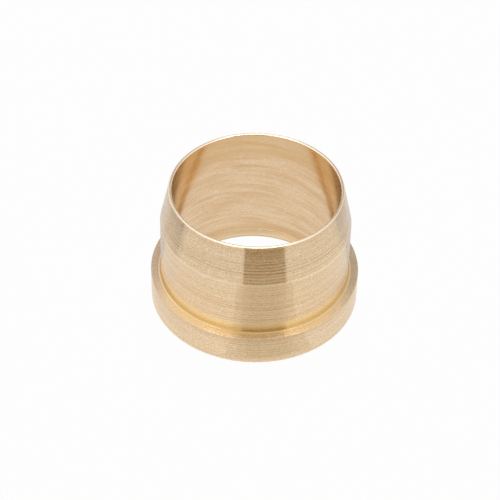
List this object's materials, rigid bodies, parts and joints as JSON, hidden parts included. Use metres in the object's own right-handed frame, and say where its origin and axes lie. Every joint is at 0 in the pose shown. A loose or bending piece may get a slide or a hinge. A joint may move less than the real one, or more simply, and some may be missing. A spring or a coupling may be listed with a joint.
{
  "type": "tube ferrule",
  "caption": "Turned brass compression ferrule with a tapered nose, a plain land and a square collar around a through bore, squeezed by a nut to grip and seal a tube.",
  "frame": {"origin": "centre of the collar's end face, on the bore's axis", "axes": "+Z along the bore, from the collar to the nose; the ring is round, so X and Y are free"},
  "size_m": [0.0158, 0.0158, 0.0103],
  "materials": {
    "turned_brass": "bare, finely turned, with tool marks around the axis"
  },
  "bodies": {
    "root": {"ferrule": "turned_brass"}
  },
  "joints": []
}
